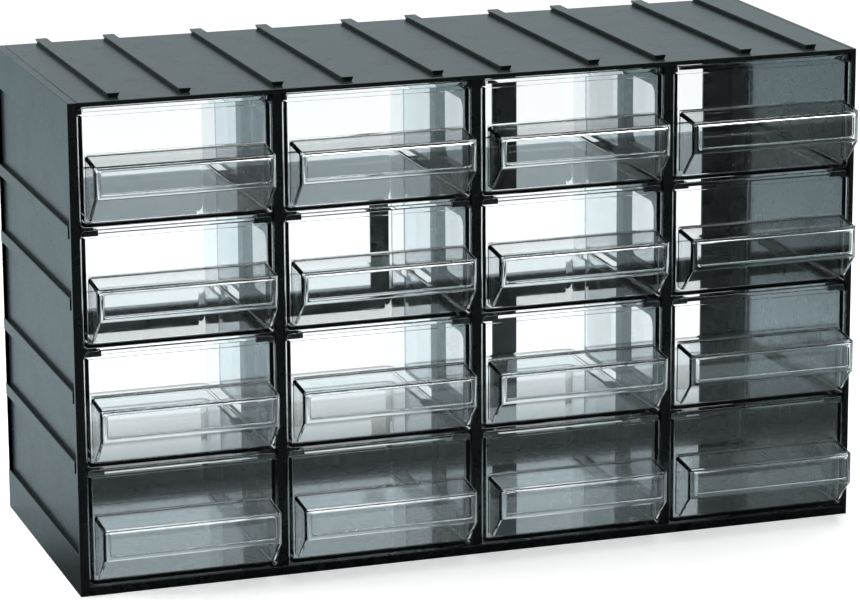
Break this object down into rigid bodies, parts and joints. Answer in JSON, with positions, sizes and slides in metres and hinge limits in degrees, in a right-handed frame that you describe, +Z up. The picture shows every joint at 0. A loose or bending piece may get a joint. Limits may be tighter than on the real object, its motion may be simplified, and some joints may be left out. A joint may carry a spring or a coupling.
{
  "type": "parts bin cabinet",
  "caption": "Black plastic parts cabinet with rows of clear sliding drawers, sloped finger grips, an open lattice back and dovetail ribs for linking cabinets.",
  "frame": {"origin": "on the surface the cabinet stands on, below the middle of its bounding box, grips included", "axes": "+X to the right seen from the front, +Y to the back, +Z up; drawers open along -Y"},
  "size_m": [0.384, 0.1652, 0.2321],
  "materials": {
    "case_plastic": "black plastic with a fine satin texture",
    "drawer_plastic": "clear crystal plastic, polished"
  },
  "bodies": {
    "case": {"left_side_panel": "case_plastic", "right_side_panel": "case_plastic", "top_panel": "case_plastic", "bottom_panel": "case_plastic", "partition_1": "case_plastic", "partition_2": "case_plastic", "partition_3": "case_plastic", "back_lattice": "case_plastic"},
    "drawer_r1c1": {"drawer_r1c1": "drawer_plastic"},
    "drawer_r1c2": {"drawer_r1c2": "drawer_plastic"},
    "drawer_r1c3": {"drawer_r1c3": "drawer_plastic"},
    "drawer_r1c4": {"drawer_r1c4": "drawer_plastic"},
    "drawer_r2c1": {"drawer_r2c1": "drawer_plastic"},
    "drawer_r2c2": {"drawer_r2c2": "drawer_plastic"},
    "drawer_r2c3": {"drawer_r2c3": "drawer_plastic"},
    "drawer_r2c4": {"drawer_r2c4": "drawer_plastic"},
    "drawer_r3c1": {"drawer_r3c1": "drawer_plastic"},
    "drawer_r3c2": {"drawer_r3c2": "drawer_plastic"},
    "drawer_r3c3": {"drawer_r3c3": "drawer_plastic"},
    "drawer_r3c4": {"drawer_r3c4": "drawer_plastic"},
    "drawer_r4c1": {"drawer_r4c1": "drawer_plastic"},
    "drawer_r4c2": {"drawer_r4c2": "drawer_plastic"},
    "drawer_r4c3": {"drawer_r4c3": "drawer_plastic"},
    "drawer_r4c4": {"drawer_r4c4": "drawer_plastic"}
  },
  "joints": [
    {"name": "slide_r1c1", "type": "slide", "parent": "case", "child": "drawer_r1c1", "axis": [0, -1, 0], "range_m": [0, 0.097]},
    {"name": "slide_r1c2", "type": "slide", "parent": "case", "child": "drawer_r1c2", "axis": [0, -1, 0], "range_m": [0, 0.097]},
    {"name": "slide_r1c3", "type": "slide", "parent": "case", "child": "drawer_r1c3", "axis": [0, -1, 0], "range_m": [0, 0.097]},
    {"name": "slide_r1c4", "type": "slide", "parent": "case", "child": "drawer_r1c4", "axis": [0, -1, 0], "range_m": [0, 0.097]},
    {"name": "slide_r2c1", "type": "slide", "parent": "case", "child": "drawer_r2c1", "axis": [0, -1, 0], "range_m": [0, 0.097]},
    {"name": "slide_r2c2", "type": "slide", "parent": "case", "child": "drawer_r2c2", "axis": [0, -1, 0], "range_m": [0, 0.097]},
    {"name": "slide_r2c3", "type": "slide", "parent": "case", "child": "drawer_r2c3", "axis": [0, -1, 0], "range_m": [0, 0.097]},
    {"name": "slide_r2c4", "type": "slide", "parent": "case", "child": "drawer_r2c4", "axis": [0, -1, 0], "range_m": [0, 0.097]},
    {"name": "slide_r3c1", "type": "slide", "parent": "case", "child": "drawer_r3c1", "axis": [0, -1, 0], "range_m": [0, 0.097]},
    {"name": "slide_r3c2", "type": "slide", "parent": "case", "child": "drawer_r3c2", "axis": [0, -1, 0], "range_m": [0, 0.097]},
    {"name": "slide_r3c3", "type": "slide", "parent": "case", "child": "drawer_r3c3", "axis": [0, -1, 0], "range_m": [0, 0.097]},
    {"name": "slide_r3c4", "type": "slide", "parent": "case", "child": "drawer_r3c4", "axis": [0, -1, 0], "range_m": [0, 0.097]},
    {"name": "slide_r4c1", "type": "slide", "parent": "case", "child": "drawer_r4c1", "axis": [0, -1, 0], "range_m": [0, 0.097]},
    {"name": "slide_r4c2", "type": "slide", "parent": "case", "child": "drawer_r4c2", "axis": [0, -1, 0], "range_m": [0, 0.097]},
    {"name": "slide_r4c3", "type": "slide", "parent": "case", "child": "drawer_r4c3", "axis": [0, -1, 0], "range_m": [0, 0.097]},
    {"name": "slide_r4c4", "type": "slide", "parent": "case", "child": "drawer_r4c4", "axis": [0, -1, 0], "range_m": [0, 0.097]}
  ]
}
